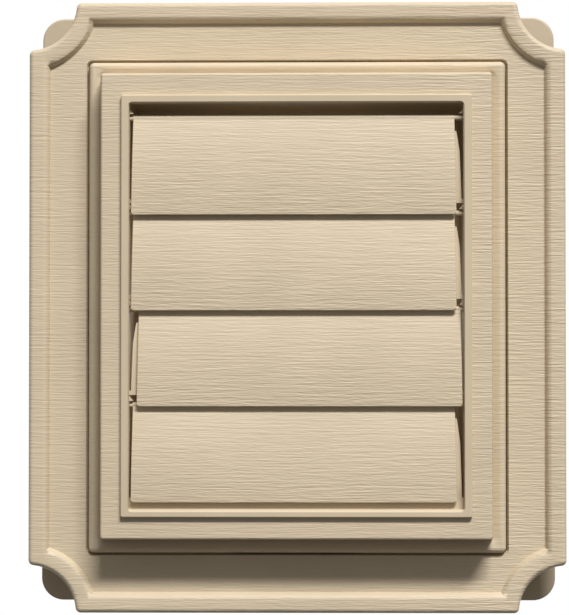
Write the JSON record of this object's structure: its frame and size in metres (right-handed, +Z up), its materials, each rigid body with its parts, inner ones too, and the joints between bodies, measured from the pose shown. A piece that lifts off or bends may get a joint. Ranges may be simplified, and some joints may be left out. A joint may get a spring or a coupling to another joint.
{
  "type": "louvered exhaust vent",
  "caption": "Wall exhaust vent for siding: scalloped trim ring clipped over a raised hollow block, with a duct collar behind and bowed louvers that hang closed and swing outwards.",
  "frame": {"origin": "centre of the nailing flange's back face, on the wall plane", "axes": "+X to the right seen from the front, +Y into the wall along the duct, +Z up"},
  "size_m": [0.1842, 0.0716, 0.2096],
  "materials": {
    "base_plastic": "moulded wood grain, satin",
    "ring_plastic": "moulded wood grain, satin",
    "body_plastic": "smooth moulded, satin",
    "louver_plastic": "moulded wood grain, satin"
  },
  "bodies": {
    "frame": {"mounting_base": "base_plastic", "trim_ring": "ring_plastic", "vent_body": "body_plastic"},
    "flap_1": {"louver_1": "louver_plastic"},
    "flap_2": {"louver_2": "louver_plastic"},
    "flap_3": {"louver_3": "louver_plastic"},
    "flap_4": {"louver_4": "louver_plastic"}
  },
  "joints": [
    {"name": "flap_1_hinge", "type": "hinge", "parent": "frame", "child": "flap_1", "pos_m": [0, -0.0269, 0.0641], "axis": [-1, 0, 0], "range_deg": [0, 30]},
    {"name": "flap_2_hinge", "type": "hinge", "parent": "frame", "child": "flap_2", "pos_m": [0, -0.0269, 0.0315], "axis": [-1, 0, 0], "range_deg": [0, 30]},
    {"name": "flap_3_hinge", "type": "hinge", "parent": "frame", "child": "flap_3", "pos_m": [0, -0.0269, -0.0011], "axis": [-1, 0, 0], "range_deg": [0, 30]},
    {"name": "flap_4_hinge", "type": "hinge", "parent": "frame", "child": "flap_4", "pos_m": [0, -0.0269, -0.0337], "axis": [-1, 0, 0], "range_deg": [0, 30]}
  ]
}
